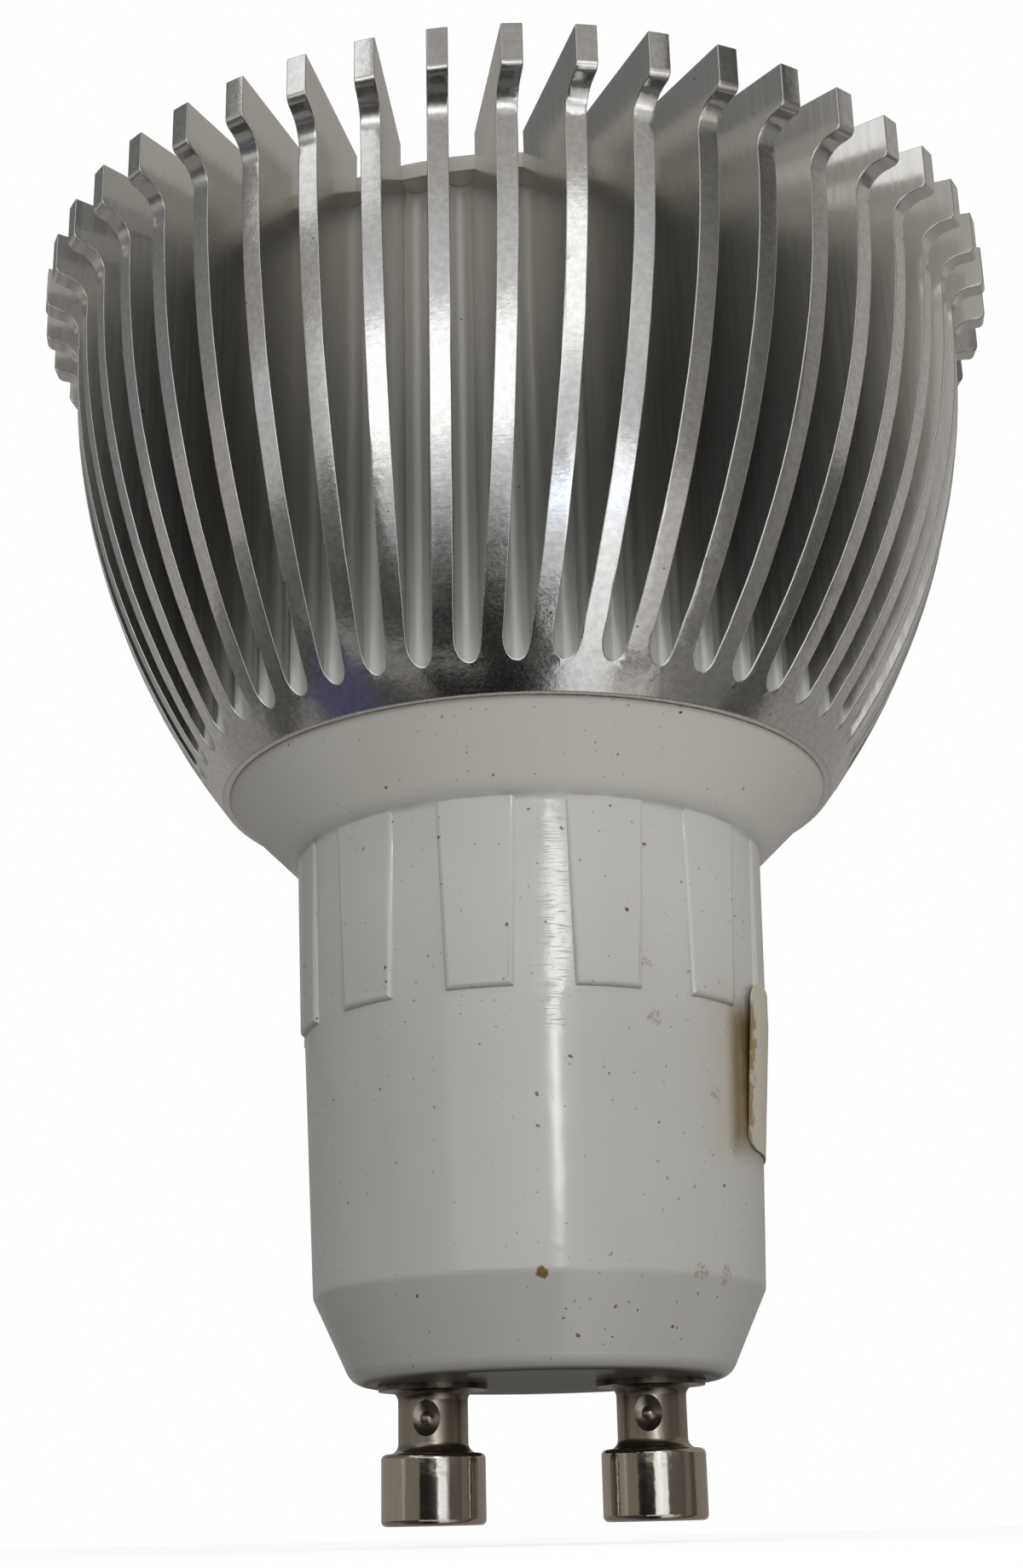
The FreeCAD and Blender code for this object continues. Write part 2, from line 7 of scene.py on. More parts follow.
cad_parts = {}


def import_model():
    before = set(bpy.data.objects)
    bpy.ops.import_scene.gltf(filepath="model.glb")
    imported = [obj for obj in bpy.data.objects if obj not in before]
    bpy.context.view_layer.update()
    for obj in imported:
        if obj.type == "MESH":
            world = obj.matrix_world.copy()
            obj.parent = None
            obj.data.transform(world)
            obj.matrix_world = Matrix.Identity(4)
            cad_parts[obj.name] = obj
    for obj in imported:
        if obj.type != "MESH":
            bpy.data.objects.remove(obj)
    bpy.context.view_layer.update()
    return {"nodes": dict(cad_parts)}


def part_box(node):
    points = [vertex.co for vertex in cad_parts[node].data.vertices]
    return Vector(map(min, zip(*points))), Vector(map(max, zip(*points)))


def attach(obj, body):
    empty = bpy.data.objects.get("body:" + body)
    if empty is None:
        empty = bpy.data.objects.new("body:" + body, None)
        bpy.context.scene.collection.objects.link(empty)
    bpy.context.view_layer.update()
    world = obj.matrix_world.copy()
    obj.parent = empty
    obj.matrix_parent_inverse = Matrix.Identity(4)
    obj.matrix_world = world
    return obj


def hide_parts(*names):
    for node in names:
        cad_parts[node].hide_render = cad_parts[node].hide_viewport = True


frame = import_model()
nodes = frame["nodes"]

MM = 0.001
WHITE = (1.0, 1.0, 1.0, 1.0)
BLACK = (0.0, 0.0, 0.0, 1.0)

# Camera at the photograph's viewing angle, just below the pins and looking up
CAMERA_LENS = 48.83
CAMERA_SENSOR = 36.0
CAMERA_PLACE = Vector((0.0, -101.3, -6.65)) * MM
CAMERA_TURN = 0.43
CAMERA_TILT = 19.5
CAMERA_ROLL = -1.3
CAMERA_NEAR = 1.0 * MM

# Sizes that the finishes follow, in millimetres and degrees round the axis
SINK_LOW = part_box("heat_sink")[0].z / MM
LABEL_LOW, LABEL_HIGH = (corner.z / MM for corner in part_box("label"))
LABEL_EDGE_DEG = 63.3
PLATE_SEAT_R = 17.4
TUBE_R = 10.8
TUBE_TOP = 24.6
PANEL_LOW = 16.0

# Ranges of noise: the one that most values fill, a wider one, and a narrow one for clear patches
NOISE_RANGE = (0.3, 0.7)
WIDE_RANGE = (0.25, 0.75)
PATCHY_RANGE = (0.35, 0.65)
# Share of a dot's radius within which it has its full strength
DOT_CORE = 0.6


class Finish:
    """A procedural material, with short calls for the nodes that the finishes share."""

    def __init__(self, name):
        self.material = bpy.data.materials.new(name)
        self.material.use_nodes = True
        self.tree = self.material.node_tree
        self.shader = self.tree.nodes["Principled BSDF"]
        place = self.node("ShaderNodeTexCoord").outputs["Object"]
        scaled = self.node("ShaderNodeVectorMath", {0: place, "Scale": 1 / MM}, operation="SCALE")
        self.mm = scaled.outputs[0]
        parts = self.node("ShaderNodeSeparateXYZ", {0: self.mm})
        self.x, self.y, self.z = parts.outputs

    def node(self, kind, inputs=None, **settings):
        """Adds a node, with its settings and the values or links of its inputs."""
        made = self.tree.nodes.new(kind)
        for name, value in settings.items():
            setattr(made, name, value)
        for key, value in (inputs or {}).items():
            self.put(made.inputs[key], value)
        return made

    def put(self, socket, value):
        """Links an output to a socket, or sets the socket's value."""
        if isinstance(value, bpy.types.NodeSocket):
            self.tree.links.new(value, socket)
        elif hasattr(value, "__len__") and len(value) == 3 and len(socket.default_value) == 4:
            socket.default_value = (*value, 1.0)
        else:
            socket.default_value = value

    def set(self, **values):
        """Sets the shader's own sockets, named with underscores for spaces."""
        for name, value in values.items():
            self.put(self.shader.inputs[name.replace("_", " ")], value)

    def calc(self, operation, a, b):
        """Result of a sum on two values."""
        return self.node("ShaderNodeMath", {0: a, 1: b}, operation=operation).outputs[0]

    def product(self, *values):
        """Product of two or more values."""
        result = values[0]
        for value in values[1:]:
            result = self.calc("MULTIPLY", result, value)
        return result

    def band(self, value, low, high, start=0.0, end=1.0):
        """Smooth step from start to end as a value goes from low to high."""
        inputs = {"Value": value, "From Min": low, "From Max": high, "To Min": start, "To Max": end}
        return self.node("ShaderNodeMapRange", inputs, interpolation_type="SMOOTHSTEP").outputs[0]

    def spread(self, value, start=0.0, end=1.0):
        """Noise spread from its usual range over the one from start to end."""
        return self.band(value, *NOISE_RANGE, start, end)

    def window(self, value, low, high, soft):
        """One between two limits and zero outside them, with soft edges."""
        rise = self.band(value, low - soft, low + soft)
        fall = self.band(value, high - soft, high + soft, 1.0, 0.0)
        return self.product(rise, fall)

    def stretched(self, along_x, along_y, along_z):
        """Coordinates in millimetres, scaled by axis, for streaks and bands."""
        inputs = {0: self.mm, 1: (along_x, along_y, along_z)}
        return self.node("ShaderNodeVectorMath", inputs, operation="MULTIPLY").outputs[0]

    def noise(self, scale, detail, rough=0.5, place=None):
        """Cloudy values about one half, with a scale in cells per millimetre."""
        inputs = {"Vector": place or self.mm, "Scale": scale, "Detail": detail, "Roughness": rough}
        return self.node("ShaderNodeTexNoise", inputs).outputs["Fac"]

    def ragged(self, push, scale):
        """Coordinates in millimetres pushed about by noise, for dots and edges that aren't round."""
        inputs = {"Vector": self.mm, "Scale": scale, "Detail": 2.0}
        shift = self.node("ShaderNodeTexNoise", inputs).outputs["Color"]
        shift = self.node("ShaderNodeVectorMath", {0: shift, "Scale": push}, operation="SCALE").outputs[0]
        return self.node("ShaderNodeVectorMath", {0: self.mm, 1: shift}, operation="ADD").outputs[0]

    def specks(self, scale, size, keep, place):
        """Sparse dots: cells per millimetre, radius as a share of a cell, and the share of cells kept."""
        inputs = {"Vector": place, "Scale": scale, "Randomness": 1.0}
        cells = self.node("ShaderNodeTexVoronoi", inputs)
        dot = self.band(cells.outputs["Distance"], size * DOT_CORE, size, 1.0, 0.0)
        luck = self.node("ShaderNodeSeparateColor", {0: cells.outputs["Color"]}).outputs[0]
        return self.product(dot, self.calc("LESS_THAN", luck, keep))

    def blob(self, centre, radius, place, push):
        """One near a point and zero past a radius, on ragged coordinates, which run half their push ahead."""
        middle = centre + Vector((push, push, push)) / 2
        gap = self.node("ShaderNodeVectorMath", {0: place, 1: middle}, operation="DISTANCE").outputs["Value"]
        return self.band(gap, radius * DOT_CORE, radius, 1.0, 0.0)

    def mix(self, factor, first, second):
        """Colour between two colours."""
        made = self.node("ShaderNodeMix", data_type="RGBA")
        for index, value in ((0, factor), (6, first), (7, second)):
            self.put(made.inputs[index], value)
        return made.outputs[2]

    def bump(self, height, depth, before=None):
        """Surface normal from a height, with its depth in millimetres."""
        inputs = {"Height": height, "Strength": 1.0, "Distance": depth * MM}
        if before:
            inputs["Normal"] = before
        return self.node("ShaderNodeBump", inputs).outputs[0]

    def turn(self):
        """Angle about the lamp's axis in degrees, zero at the front and growing to the right."""
        back = self.product(self.y, -1.0)
        return self.product(self.calc("ARCTAN2", self.x, back), 180 / math.pi)

    def area(self, turn, turns, heights, soft):
        """One on a patch of the tube between two angles and two heights, with soft edges in millimetres."""
        across = self.window(turn, *turns, math.degrees(soft / TUBE_R))
        return self.product(across, self.window(self.z, *heights, soft))


# Metal of the heat sink: colours from dark to light, and the heights over which drawn faces grow paler as
# painted light that lifts the deep shade in the slots
TURNED_TONES = ((0.77, 0.765, 0.75), (0.89, 0.89, 0.88))
TURNED_PIT_TONE = (0.20, 0.18, 0.15)
FIN_SIDE_TONES = ((0.56, 0.55, 0.525), (0.82, 0.81, 0.78))
SLOT_FLOOR_TONES = ((0.54, 0.54, 0.515), (0.86, 0.84, 0.80))
DRAWN_PIT_TONE = (0.07, 0.065, 0.055)
DRAWN_SPREAD = 0.04
PAINTED_LIGHT_HEIGHTS = (36.0, 50.0)
BURR_TONES = ((0.66, 0.66, 0.65), (0.82, 0.82, 0.81))


def turned_aluminium():
    """Turned and tumbled aluminium: bright and mirror-like, with faint rings, fine grain and dark pits."""
    finish = Finish("turned_aluminium")
    rings = finish.noise(scale=1.0, detail=1.0, place=finish.stretched(0.25, 0.25, 8.0))
    dents = finish.noise(scale=3.2, detail=2.0)
    grain = finish.noise(scale=11.0, detail=1.0)
    pits = finish.specks(scale=1.6, size=0.10, keep=0.10, place=finish.ragged(push=0.12, scale=6.0))
    tone = finish.mix(finish.spread(dents), *TURNED_TONES)
    finish.set(Metallic=1.0, Base_Color=finish.mix(pits, tone, TURNED_PIT_TONE))
    finish.set(Roughness=finish.spread(grain, 0.13, 0.20))
    relief = finish.bump(rings, depth=0.0014, before=finish.bump(dents, depth=0.0045))
    finish.set(Normal=finish.bump(grain, depth=0.0017, before=relief))
    return finish.material


def drawn_metal(name, tones, roughness, metallic):
    """Extruded face, painted paler towards the front as painted light against the deep shade there, with
    faint lines along it and a few dark pits.
    """
    finish = Finish(name)
    lines = finish.noise(scale=1.0, detail=1.0, place=finish.stretched(4.0, 4.0, 0.06))
    cloud = finish.noise(scale=0.35, detail=2.0)
    pits = finish.specks(scale=1.2, size=0.07, keep=0.16, place=finish.ragged(push=0.1, scale=6.0))
    # Painted light: the face grows paler towards the front, where the slots lie deep in shade
    tone = finish.mix(finish.band(finish.z, *PAINTED_LIGHT_HEIGHTS), *tones)
    finish.set(Metallic=metallic, Base_Color=finish.mix(pits, tone, DRAWN_PIT_TONE))
    finish.set(Roughness=finish.spread(lines, roughness - DRAWN_SPREAD, roughness + DRAWN_SPREAD))
    finish.set(Normal=finish.bump(lines, depth=0.0004, before=finish.bump(cloud, depth=0.012)))
    return finish.material


def burr_aluminium():
    """Broken edges of the fins: bright bare metal with small nicks."""
    finish = Finish("burr_aluminium")
    nicks = finish.noise(scale=3.0, detail=4.0, rough=0.65)
    finish.set(Metallic=1.0, Base_Color=finish.mix(nicks, *BURR_TONES))
    finish.set(Roughness=finish.spread(nicks, 0.16, 0.34))
    finish.set(Normal=finish.bump(nicks, depth=0.012))
    return finish.material


# Base: colours from dark to light, and the heights over which one takes over from the other
TUBE_TONES = ((0.452, 0.443, 0.415), (0.490, 0.482, 0.455))
# Painted light: the upper tube and its panels are painted paler, for light thrown up onto them from the
# collar
PANEL_PAINTED_LIGHT_TONES = ((0.515, 0.505, 0.477), (0.555, 0.545, 0.517))
PAINTED_LIGHT_PANEL_HEIGHTS = (PANEL_LOW - 3.0, TUBE_TOP - 3.0)
# Collar: a warmer matt white, painted paler still as painted light for the light it gets from the front and
# below
COLLAR_TONES_WITH_PAINTED_LIGHT = ((0.680, 0.658, 0.598), (0.720, 0.698, 0.637))
COLLAR_HEIGHTS = (TUBE_TOP - 0.1, TUBE_TOP + 0.9)
TUBE_ROUGHNESS, SCUFF_ROUGHNESS, COLLAR_ROUGHNESS = 0.14, 0.42, 0.5
SCUFF_TURNS = (-1.0, 9.0)
SCUFF_HEIGHTS = (PANEL_LOW - 2.0, TUBE_TOP - 0.4)
# Its foot between the pins, painted dark as shade under the base, which hardly mirrors
FOOT_HEIGHTS = (0.0, 0.2)
FOOT_SHADE_TONE = (0.11, 0.10, 0.088)
FOOT_SHADE_STRENGTH = 0.92
FOOT_IOR, TUBE_IOR = 1.02, 1.5

# Aged patch round the label, brown stain in front of it and behind it, and the one below it
AGED_TURNS = (46.0, 96.0)
AGED_HEIGHTS = (LABEL_LOW - 0.6, LABEL_HIGH - 1.2)
AGED_TONE = (0.43, 0.385, 0.30)
STAIN_START = (52.0, 58.5)
STAIN_END = (129.0, 133.0)
STAIN_HEIGHTS = (LABEL_LOW - 0.2, LABEL_HIGH - 1.5)
BELOW_TURNS = (LABEL_EDGE_DEG, 90.0)
BELOW_HEIGHTS = (LABEL_LOW - 0.25, LABEL_LOW + 0.6)
BELOW_STRENGTH = 0.7
STAIN_TONE = (0.130, 0.088, 0.022)

# Brown drip just above the bevel
DRIP_PLACE = Vector((0.14, -10.47, 3.78))
DRIP_R = 0.30
DRIP_PUSH = 0.4
DRIP_TONE = (0.19, 0.12, 0.035)
# Brown smudges on the right of the tube: angle, height, radius
SMUDGES = (
    (28.0, 17.3, 0.45),
    (29.5, 14.8, 0.5),
    (42.0, 3.85, 0.75),
    (48.6, 11.8, 0.4),
    (51.0, 3.9, 0.65),
    (56.0, 9.7, 0.6),
)
SMUDGE_PUSH = 0.8
SMUDGE_TONE = (0.20, 0.15, 0.08)
# Splashes on the bevel
SPLASH_TURNS = (0.0, 42.0)
SPLASH_HEIGHTS = (0.8, 2.7)
SPLASH_TONE = (0.12, 0.09, 0.055)

# Dirt and painted shade in the crease under the collar, and a dark line along the heat sink's lower edge
SEAM_HEIGHTS = (TUBE_TOP, TUBE_TOP + 0.2)
SEAM_DIRT_AND_SHADE_STRENGTH = 0.35
EDGE_HEIGHTS = (SINK_LOW - 0.1, SINK_LOW + 0.1)
EDGE_STRENGTH = 0.5
DIRT_AND_SHADE_TONE = (0.22, 0.185, 0.135)

# Dark specks: cells per millimetre, radius as a share of a cell, strength, colour
SPECKS = (
    (0.75, 0.085, 0.95, (0.085, 0.065, 0.045)),
    (1.3, 0.095, 0.88, (0.12, 0.10, 0.075)),
    (2.3, 0.12, 0.75, (0.17, 0.145, 0.11)),
)
# Share of their cells that hold one, from low to high, and what is added to it in flocks
SPECK_HEIGHTS = (4.0, PANEL_LOW)
SPECK_SHARES = (0.12, 0.30)
FLOCK_SHARE = 0.22


def label_stains(finish, turn, blot, tone):
    """Aged patch and brown stains round the label, laid over a colour."""
    aged = finish.area(turn, AGED_TURNS, AGED_HEIGHTS, soft=1.5)
    tone = finish.mix(finish.product(aged, finish.spread(blot, 0.5, 0.75)), tone, AGED_TONE)
    across = finish.product(finish.band(turn, *STAIN_START), finish.band(turn, *STAIN_END, 1.0, 0.0))
    upright = finish.window(finish.z, *STAIN_HEIGHTS, soft=0.9)
    beside = finish.product(across, upright, finish.spread(blot, 0.85, 0.96))
    below = finish.area(turn, BELOW_TURNS, BELOW_HEIGHTS, soft=0.3)
    stain = finish.calc("MAXIMUM", beside, finish.product(below, BELOW_STRENGTH))
    return finish.mix(stain, tone, STAIN_TONE)


def on_tube(turn, height):
    """Point of the tube's face at an angle from the front and a height, in millimetres."""
    return Matrix.Rotation(math.radians(turn), 3, "Z") @ Vector((0.0, -TUBE_R, height))


def spots(finish, turn, tone):
    """Drip, smudges and splashes, laid over a colour."""
    drip = finish.blob(DRIP_PLACE, DRIP_R, finish.ragged(DRIP_PUSH, scale=3.0), DRIP_PUSH)
    tone = finish.mix(drip, tone, DRIP_TONE)
    place = finish.ragged(SMUDGE_PUSH, scale=1.5)
    grime = 0.0
    for smudge_turn, height, radius in SMUDGES:
        smudge = finish.blob(on_tube(smudge_turn, height), radius, place, SMUDGE_PUSH)
        grime = finish.calc("MAXIMUM", grime, smudge)
    grains = finish.band(finish.noise(scale=6.0, detail=3.0, rough=0.6), 0.48, 0.62, 0.10, 0.60)
    tone = finish.mix(finish.product(grime, grains), tone, SMUDGE_TONE)
    dots = finish.specks(scale=1.9, size=0.17, keep=0.5, place=finish.ragged(push=0.3, scale=4.0))
    splashes = finish.product(dots, finish.area(turn, SPLASH_TURNS, SPLASH_HEIGHTS, soft=0.3))
    return finish.mix(splashes, tone, SPLASH_TONE)


def dirt_and_shade(finish, blot, tone):
    """Dirt and painted shade in the seam, a dark line at the heat sink's edge, and painted shade on the foot,
    laid over a colour.
    """
    # Dirt and painted shade in the crease under the collar
    seam = finish.window(finish.z, *SEAM_HEIGHTS, soft=0.16)
    seam = finish.product(seam, finish.band(blot, *PATCHY_RANGE), SEAM_DIRT_AND_SHADE_STRENGTH)
    # Dark line along the heat sink's lower edge
    edge = finish.product(finish.window(finish.z, *EDGE_HEIGHTS, soft=0.1), EDGE_STRENGTH)
    tone = finish.mix(finish.calc("MAXIMUM", seam, edge), tone, DIRT_AND_SHADE_TONE)
    # Painted shade: the foot between the pins is darkened
    return finish.mix(finish.band(finish.z, *FOOT_HEIGHTS, FOOT_SHADE_STRENGTH, 0.0), tone, FOOT_SHADE_TONE)


def dark_specks(finish, tone):
    """Dark specks of three sizes, more of them in flocks and towards the panels, laid over a colour."""
    flock = finish.band(finish.noise(scale=0.22, detail=2.0), *PATCHY_RANGE)
    rising = finish.band(finish.z, *SPECK_HEIGHTS, *SPECK_SHARES)
    share = finish.calc("ADD", rising, finish.product(flock, FLOCK_SHARE))
    place = finish.ragged(push=0.22, scale=5.0)
    for scale, size, strength, colour in SPECKS:
        dots = finish.specks(scale, size, share, place)
        tone = finish.mix(finish.product(dots, strength), tone, colour)
    return tone


def moulded_base():
    """White glossy tube under a matt collar, with specks, scuffs and stains, and painted light on the upper
    tube and collar and painted shade in the seam and on the foot.
    """
    finish = Finish("moulded_base")
    turn = finish.turn()
    cloud = finish.noise(scale=0.25, detail=3.0)
    blot = finish.noise(scale=0.9, detail=4.0, rough=0.6)
    upper = finish.band(finish.z, *COLLAR_HEIGHTS)
    tone = finish.mix(cloud, *TUBE_TONES)
    # Painted light: paler upper tube and panels
    tone = finish.mix(finish.band(finish.z, *PAINTED_LIGHT_PANEL_HEIGHTS), tone, finish.mix(cloud, *PANEL_PAINTED_LIGHT_TONES))
    # Collar: warmer matt white with painted light
    tone = finish.mix(upper, tone, finish.mix(cloud, *COLLAR_TONES_WITH_PAINTED_LIGHT))
    tone = label_stains(finish, turn, blot, tone)
    tone = spots(finish, turn, tone)
    # Dirt, with painted shade in the seam and on the foot
    tone = dirt_and_shade(finish, blot, tone)
    finish.set(Base_Color=dark_specks(finish, tone))
    finish.set(IOR=finish.band(finish.z, *FOOT_HEIGHTS, FOOT_IOR, TUBE_IOR))
    scratch = finish.noise(scale=1.0, detail=2.0, place=finish.stretched(0.9, 0.9, 16.0))
    scuffed = finish.area(turn, SCUFF_TURNS, SCUFF_HEIGHTS, soft=0.8)
    scuffed = finish.product(scuffed, finish.band(scratch, 0.58, 0.64))
    lower_gloss = finish.band(scuffed, 0.0, 1.0, TUBE_ROUGHNESS, SCUFF_ROUGHNESS)
    upper_gloss = finish.band(upper, 0.0, 1.0, 0.0, COLLAR_ROUGHNESS)
    finish.set(Roughness=finish.calc("MAXIMUM", lower_gloss, upper_gloss))
    waves = finish.bump(finish.noise(scale=1.2, detail=2.0), depth=0.010)
    skin = finish.bump(finish.noise(scale=5.0, detail=1.0), depth=0.0012, before=waves)
    finish.set(Normal=finish.bump(scuffed, depth=0.005, before=skin))
    return finish.material


# Pins: colours, and the heights over which the neck and the root begin; the root under the base is painted
# dark as shade
PIN_TONES = ((0.52, 0.46, 0.38), (0.62, 0.565, 0.48))
NECK_HEIGHTS = (-3.1, -2.7)
NECK_TONE = (0.30, 0.26, 0.21)
NECK_STRENGTH = 0.7
ROOT_SHADE_HEIGHTS = (-1.2, -0.2)
ROOT_SHADE_TONE = (0.10, 0.08, 0.058)


def nickel():
    """Plated pins: warm and glossy, dull and brownish on the neck, and painted dark as shade at the root
    under the base.
    """
    finish = Finish("nickel")
    lines = finish.noise(scale=1.0, detail=2.0, place=finish.stretched(6.0, 6.0, 0.5))
    stain = finish.noise(scale=1.4, detail=4.0, rough=0.6)
    neck = finish.band(finish.z, *NECK_HEIGHTS)
    # Painted shade: the root under the base is darkened, mottled by noise
    root = finish.product(finish.band(finish.z, *ROOT_SHADE_HEIGHTS), finish.spread(stain, 0.55, 0.95))
    tone = finish.mix(lines, *PIN_TONES)
    tone = finish.mix(finish.product(neck, NECK_STRENGTH), tone, NECK_TONE)
    finish.set(Metallic=1.0, Base_Color=finish.mix(root, tone, ROOT_SHADE_TONE))
    finish.set(Roughness=finish.band(finish.calc("ADD", neck, stain), 0.4, 1.5, 0.11, 0.28))
    finish.set(Normal=finish.bump(stain, depth=0.010, before=finish.bump(lines, depth=0.001)))
    return finish.material


# Label: colours, and the browned strip from its front edge, in degrees
PAPER_TONES = ((0.50, 0.455, 0.37), (0.60, 0.56, 0.475))
BROWN_TURNS = (LABEL_EDGE_DEG - 0.4, LABEL_EDGE_DEG + 2.6)
BROWN_FRAY = (-3.0, 2.0)
BROWN_STRENGTH = 0.9
BROWN_TONE = (0.30, 0.19, 0.075)


def paper():
    """Bare cream label with fibres, browned along its front edge."""
    finish = Finish("paper")
    fibre = finish.noise(scale=5.0, detail=4.0, rough=0.7)
    fray = finish.spread(finish.noise(scale=1.3, detail=3.0, rough=0.6), *BROWN_FRAY)
    brown = finish.band(finish.calc("ADD", finish.turn(), fray), *BROWN_TURNS, BROWN_STRENGTH, 0.0)
    finish.set(Base_Color=finish.mix(brown, finish.mix(fibre, *PAPER_TONES), BROWN_TONE))
    finish.set(Roughness=finish.spread(fibre, 0.55, 0.75))
    finish.set(Normal=finish.bump(fibre, depth=0.008))
    return finish.material


# Lenses
LENS_TONE = (0.96, 0.96, 0.96)
LENS_IOR = 1.49


def clear_acrylic():
    """Lens material: clear, with a slight waviness."""
    finish = Finish("clear_acrylic")
    wave = finish.noise(scale=0.8, detail=2.0)
    finish.set(Base_Color=LENS_TONE, Transmission_Weight=1.0, IOR=LENS_IOR)
    finish.set(Roughness=finish.spread(wave, 0.01, 0.04))
    finish.set(Normal=finish.bump(wave, depth=0.004))
    return finish.material


# Pieces with a plain finish: its name, dark and light colour, roughness, and the nodes that have it
PLAIN_FINISHES = (
    ("black_plastic", (0.012, 0.012, 0.012), (0.03, 0.03, 0.03), 0.4, (
        "lens_holder_1", "lens_holder_2", "lens_holder_3", "driver_chip", "bridge_rectifier", "output_diode",
        "wire_bush", "dc_wire_negative")),
    ("phosphor", (0.75, 0.60, 0.12), (0.85, 0.70, 0.20), 0.4, (
        "led_emitter_1", "led_emitter_2", "led_emitter_3")),
    ("white_board", (0.70, 0.70, 0.68), (0.80, 0.80, 0.78), 0.4, ("led_board",)),
    ("grey_silicone", (0.30, 0.31, 0.32), (0.38, 0.39, 0.40), 0.7, ("thermal_pad",)),
    ("film_plastic", (0.55, 0.42, 0.18), (0.65, 0.50, 0.24), 0.35, ("insulating_disc",)),
    ("circuit_board", (0.03, 0.16, 0.07), (0.05, 0.24, 0.10), 0.4, ("driver_board",)),
    ("can_sleeve", (0.02, 0.025, 0.05), (0.035, 0.04, 0.08), 0.35, ("input_capacitor", "output_capacitor")),
    ("ferrite", (0.04, 0.04, 0.042), (0.08, 0.08, 0.083), 0.6, ("choke", "transformer_core")),
    ("yellow_tape", (0.70, 0.52, 0.06), (0.80, 0.62, 0.10), 0.4, ("transformer_coil",)),
    ("resistor_body", (0.10, 0.30, 0.22), (0.14, 0.38, 0.28), 0.45, ("fuse_resistor",)),
    ("white_insulation", (0.62, 0.61, 0.58), (0.72, 0.71, 0.68), 0.45, (
        "mains_wire_left", "mains_wire_right")),
    ("red_insulation", (0.45, 0.03, 0.02), (0.55, 0.05, 0.03), 0.45, ("dc_wire_positive",)),
)
PLAIN_SPREAD = 0.06
PLATE_TONES = ((0.78, 0.74, 0.67), (0.86, 0.82, 0.76))
STEEL_TONES = ((0.50, 0.50, 0.50), (0.66, 0.66, 0.66))


def plain(name, dark, light, roughness, scale=1.5, depth=0.01, metallic=0.0):
    """Simple finish: a mottled colour with a matching relief."""
    finish = Finish(name)
    cloud = finish.noise(scale, detail=4.0, rough=0.6)
    finish.set(Base_Color=finish.mix(cloud, dark, light), Metallic=metallic)
    finish.set(Roughness=finish.band(cloud, *WIDE_RANGE, roughness - PLAIN_SPREAD, roughness + PLAIN_SPREAD))
    finish.set(Normal=finish.bump(cloud, depth))
    return finish.material


def dress(material, *names):
    """Gives CAD nodes a finish."""
    for name in names:
        for slot in nodes[name].material_slots:
            slot.material = material


def dress_nodes():
    """Finishes of the CAD nodes that show as they are."""
    dress(moulded_base(), "base_housing")
    dress(nickel(), "contact_pin_left", "contact_pin_right")
    dress(paper(), "label")
    dress(clear_acrylic(), "lens_1", "lens_2", "lens_3")
    plate = plain("plate_metal", *PLATE_TONES, roughness=0.34, scale=2.0, depth=0.006, metallic=0.15)
    dress(plate, "front_plate")
    steel = plain("screw_steel", *STEEL_TONES, roughness=0.3, scale=2.0, metallic=1.0)
    dress(steel, "front_screws", "base_screws")
    for name, dark, light, roughness, wearers in PLAIN_FINISHES:
        dress(plain(name, dark, light, roughness), *wearers)


# Heat sink: broken edges, which wander a little, and burrs where the slots end, in millimetres
EDGE_BREAK = 0.05
EDGE_DEG = 32.0
EDGE_SEGMENTS = 2
EDGE_PROFILE = 0.6
EDGE_WANDER = 0.022
WANDER_SCALE = 1.0
WANDER_SEED = 7
WANDER_HEIGHTS = (SINK_LOW + 0.6, 52.5)
BURR_TOP = 31.2
BURR_RISE = 0.035
BURR_SCALE = 2.2
MERGE_GAP = 0.0001
# Limits that tell its faces apart, by the normal's part upwards and its part away from the axis
UPRIGHT_RISE = 0.08
UNDER_RISE = -0.2
SLOT_FLOOR_FACING = 0.35
FIN_SIDE_FACING = 0.75
LIP_UNDER = 51.5
# Order of its finishes
TURNED, FIN_SIDE, SLOT_FLOOR, BURR = range(4)


def sink_faces(bm):
    """Sorts faces into turned ones, slot floors, and fin sides with the lip's underside."""
    for face in bm.faces:
        centre = face.calc_center_median()
        outward = Vector((centre.x, centre.y, 0.0)).normalized()
        facing = face.normal.dot(outward)
        upright = abs(face.normal.z) < UPRIGHT_RISE
        inner = centre.xy.length < PLATE_SEAT_R * MM
        under_lip = face.normal.z < UNDER_RISE and centre.z > LIP_UNDER * MM
        if upright and inner and facing > SLOT_FLOOR_FACING:
            face.material_index = SLOT_FLOOR
        elif upright and facing < FIN_SIDE_FACING or under_lip:
            face.material_index = FIN_SIDE
        else:
            face.material_index = TURNED


def wander(verts):
    """Shifts the fins' broken edges as tumbling leaves them, and raises burrs at the slots' ends."""
    noise.seed_set(WANDER_SEED)
    low, high = WANDER_HEIGHTS
    for vert in verts:
        place = vert.co / MM
        if not low < place.z < high:
            continue
        vert.co += noise.noise_vector(place * WANDER_SCALE) * EDGE_WANDER * MM
        if place.z < BURR_TOP:
            vert.co += vert.normal * max(0.0, noise.noise(place * BURR_SCALE)) * BURR_RISE * MM


def even_normals(mesh):
    """Shades a mesh smoothly, with each corner's normal led by the largest faces round it."""
    mesh.attributes.remove(mesh.attributes["custom_normal"])
    sums = [Vector() for _ in mesh.vertices]
    for face in mesh.polygons:
        for index in face.vertices:
            sums[index] += face.normal * face.area
    mesh.normals_split_custom_set_from_vertices([total.normalized() for total in sums])


